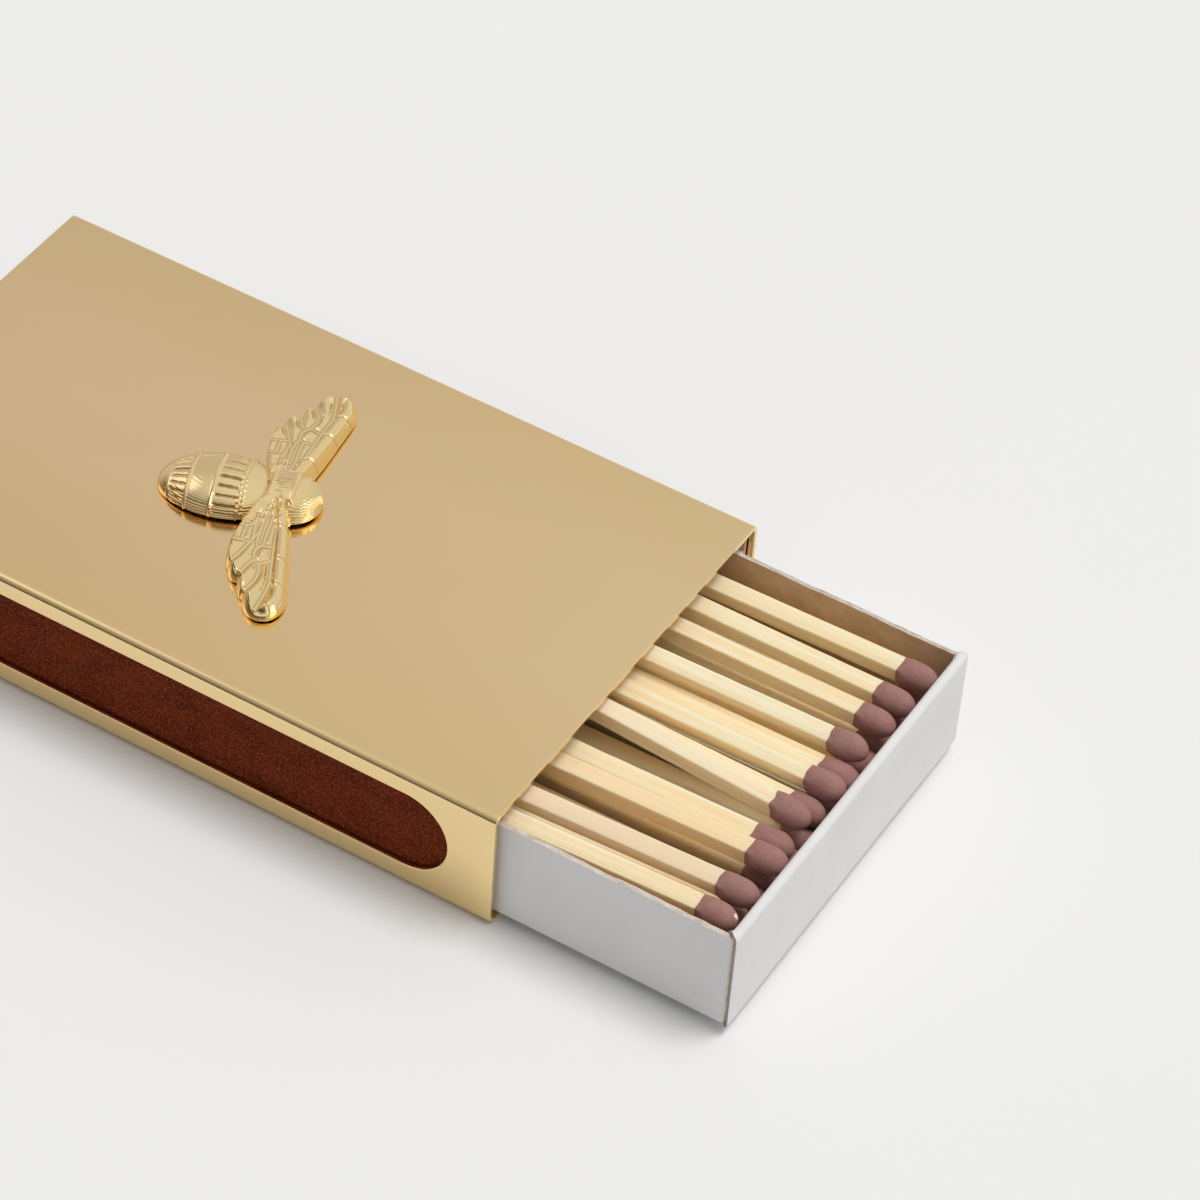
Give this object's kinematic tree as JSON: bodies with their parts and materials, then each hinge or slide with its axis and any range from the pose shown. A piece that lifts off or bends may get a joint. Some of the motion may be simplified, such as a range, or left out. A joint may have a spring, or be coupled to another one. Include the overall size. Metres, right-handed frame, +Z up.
{
  "type": "matchbox holder",
  "caption": "Gilt metal sleeve with a cast bee on top and a window in each long side, slid over a household box of long matches whose tray is drawn partly out.",
  "frame": {"origin": "centre of the cover's underside, on the surface that the holder stands on", "axes": "+X along the slide, towards the drawn-out end of the tray; +Y across, away from the window that the picture shows; +Z up"},
  "size_m": [0.1467, 0.066, 0.0245],
  "materials": {
    "gilt_cover": "polished gilt plate over folded sheet, faint draw lines",
    "gilt_cast": "polished gilt casting, darker in the grooves",
    "solder": "dull solder, hidden under the bee",
    "carton_board": "white-faced thin board, matt, raw grey-brown inside",
    "tray_board": "white-faced thin board, matt, raw brown-grey inside and at cut edges",
    "striker_coat": "dark red-brown abrasive coat with fine grain",
    "match_wood": "pale sawn aspen, dry",
    "match_compound": "dry dusty mauve-brown compound, matt"
  },
  "bodies": {
    "holder": {"metal_cover": "gilt_cover", "bee_ornament": "gilt_cast", "bee_solder": "solder"},
    "carton": {"carton_sleeve": "carton_board", "striker_strip_near": "striker_coat", "striker_strip_far": "striker_coat"},
    "drawn_tray": {"tray": "tray_board", "bottom_row_sticks": "match_wood", "bottom_row_heads": "match_compound", "second_row_sticks": "match_wood", "second_row_heads": "match_compound", "third_row_sticks": "match_wood", "third_row_heads": "match_compound", "top_match_01_stick": "match_wood", "top_match_01_head": "match_compound", "top_match_02_stick": "match_wood", "top_match_02_head": "match_compound", "top_match_03_stick": "match_wood", "top_match_03_head": "match_compound", "top_match_04_stick": "match_wood", "top_match_04_head": "match_compound", "top_match_05_stick": "match_wood", "top_match_05_head": "match_compound", "top_match_06_stick": "match_wood", "top_match_06_head": "match_compound", "top_match_07_stick": "match_wood", "top_match_07_head": "match_compound", "top_match_08_stick": "match_wood", "top_match_08_head": "match_compound", "top_match_09_stick": "match_wood", "top_match_09_head": "match_compound", "top_match_10_stick": "match_wood", "top_match_10_head": "match_compound", "top_match_11_stick": "match_wood", "top_match_11_head": "match_compound", "top_match_12_stick": "match_wood", "top_match_12_head": "match_compound"}
  },
  "joints": [
    {"name": "carton_slide", "type": "slide", "parent": "holder", "child": "carton", "axis": [1, 0, 0], "range_m": [-0.112, 0.112]},
    {"name": "tray_slide", "type": "slide", "parent": "carton", "child": "drawn_tray", "axis": [1, 0, 0], "range_m": [-0.1457, 0.0747]}
  ]
}
